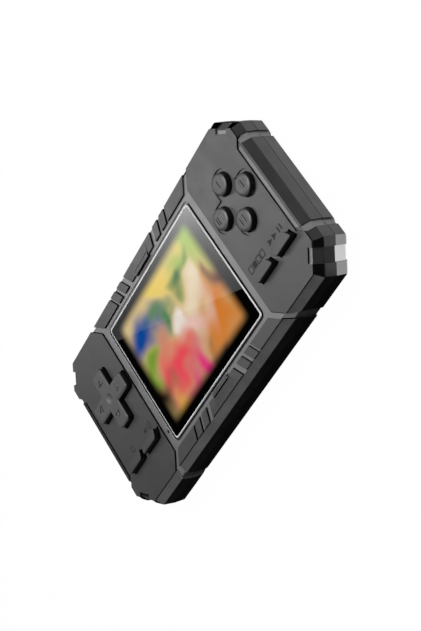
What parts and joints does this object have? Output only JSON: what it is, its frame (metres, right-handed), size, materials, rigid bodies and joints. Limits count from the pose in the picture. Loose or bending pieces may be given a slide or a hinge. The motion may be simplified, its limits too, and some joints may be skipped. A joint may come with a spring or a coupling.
{
  "type": "handheld game console",
  "caption": "Landscape handheld game console with a bevelled two-part case, central screen, rocking direction pad, round action buttons, slanted small keys and a snap-in battery cover.",
  "frame": {"origin": "centre of the back face, on which the console lies", "axes": "+X runs to the right of the screen, +Y to the top edge, +Z out of the screen"},
  "size_m": [0.149, 0.0734, 0.0187],
  "materials": {
    "shell_grey": "painted dark grey plastic with a satin sheen",
    "button_grey": "satin dark grey moulded plastic",
    "screen_cover": "clear polished acrylic with a black printed border and a bright bevel",
    "display_glass": "lit colour picture",
    "diffuser_white": "milky white",
    "stamped_steel": "bright stamped sheet",
    "black_foam": "closed-cell foam",
    "ribbon_film": "amber polyimide film",
    "board_green": "solder-masked glass fibre laminate",
    "chip_black": "moulded black plastic",
    "silicone_grey": "moulded silicone",
    "battery_wrap": "shrink-wrapped cell",
    "contact_brass": "plated spring brass",
    "light_pipe": "smoked clear acrylic",
    "screw_black": "blackened steel"
  },
  "bodies": {
    "case": {"front_shell": "shell_grey", "back_shell": "shell_grey", "lens": "screen_cover", "lens_adhesive": "black_foam", "lcd_glass": "display_glass", "lcd_backlight": "diffuser_white", "lcd_tray": "stamped_steel", "lcd_foam": "black_foam", "lcd_ribbon": "ribbon_film", "main_board": "board_green", "main_chip": "chip_black", "memory_chip": "chip_black", "board_components": "stamped_steel", "dpad_membrane": "silicone_grey", "action_membrane": "silicone_grey", "left_key_membrane": "silicone_grey", "right_key_membrane": "silicone_grey", "battery": "battery_wrap", "battery_contacts": "contact_brass", "speaker": "chip_black", "speaker_gasket": "black_foam", "speaker_contacts": "contact_brass", "power_switch_body": "stamped_steel", "usb_socket": "stamped_steel", "earphone_jack": "chip_black", "status_light_pipe": "light_pipe", "status_led": "diffuser_white", "case_screws": "screw_black", "board_screws": "screw_black"},
    "dpad_ball": {"dpad_pivot": "button_grey"},
    "direction_pad": {"dpad": "button_grey"},
    "action_top": {"action_button_top": "button_grey"},
    "action_right": {"action_button_right": "button_grey"},
    "action_bottom": {"action_button_bottom": "button_grey"},
    "action_left": {"action_button_left": "button_grey"},
    "select_key": {"select_button": "button_grey"},
    "start_key": {"start_button": "button_grey"},
    "reset_key": {"reset_button": "button_grey"},
    "volume_key": {"volume_button": "button_grey"},
    "power_switch": {"power_switch_cap": "chip_black"},
    "battery_door": {"battery_cover": "shell_grey"}
  },
  "joints": [
    {"name": "dpad_up_down", "type": "hinge", "parent": "case", "child": "dpad_ball", "pos_m": [-0.0526, 0.0074, 0.0116], "axis": [1, 0, 0], "range_deg": [-4, 4], "stiffness_Nm_per_rad": 0.03},
    {"name": "dpad_left_right", "type": "hinge", "parent": "dpad_ball", "child": "direction_pad", "pos_m": [-0.0526, 0.0074, 0.0116], "axis": [0, 1, 0], "range_deg": [-4, 4], "stiffness_Nm_per_rad": 0.03},
    {"name": "action_top_press", "type": "slide", "parent": "case", "child": "action_top", "axis": [0, 0, -1], "range_m": [0, 0.0012], "stiffness_N_per_m": 300},
    {"name": "action_right_press", "type": "slide", "parent": "case", "child": "action_right", "axis": [0, 0, -1], "range_m": [0, 0.0012], "stiffness_N_per_m": 300},
    {"name": "action_bottom_press", "type": "slide", "parent": "case", "child": "action_bottom", "axis": [0, 0, -1], "range_m": [0, 0.0012], "stiffness_N_per_m": 300},
    {"name": "action_left_press", "type": "slide", "parent": "case", "child": "action_left", "axis": [0, 0, -1], "range_m": [0, 0.0012], "stiffness_N_per_m": 300},
    {"name": "select_press", "type": "slide", "parent": "case", "child": "select_key", "axis": [0, 0, -1], "range_m": [0, 0.001], "stiffness_N_per_m": 300},
    {"name": "start_press", "type": "slide", "parent": "case", "child": "start_key", "axis": [0, 0, -1], "range_m": [0, 0.001], "stiffness_N_per_m": 300},
    {"name": "reset_press", "type": "slide", "parent": "case", "child": "reset_key", "axis": [0, 0, -1], "range_m": [0, 0.001], "stiffness_N_per_m": 300},
    {"name": "volume_press", "type": "slide", "parent": "case", "child": "volume_key", "axis": [0, 0, -1], "range_m": [0, 0.001], "stiffness_N_per_m": 300},
    {"name": "power_slide", "type": "slide", "parent": "case", "child": "power_switch", "axis": [1, 0, 0], "range_m": [0, 0.003]},
    {"name": "battery_cover_pull", "type": "slide", "parent": "case", "child": "battery_door", "axis": [0, 0, -1], "range_m": [0, 0.012]}
  ]
}
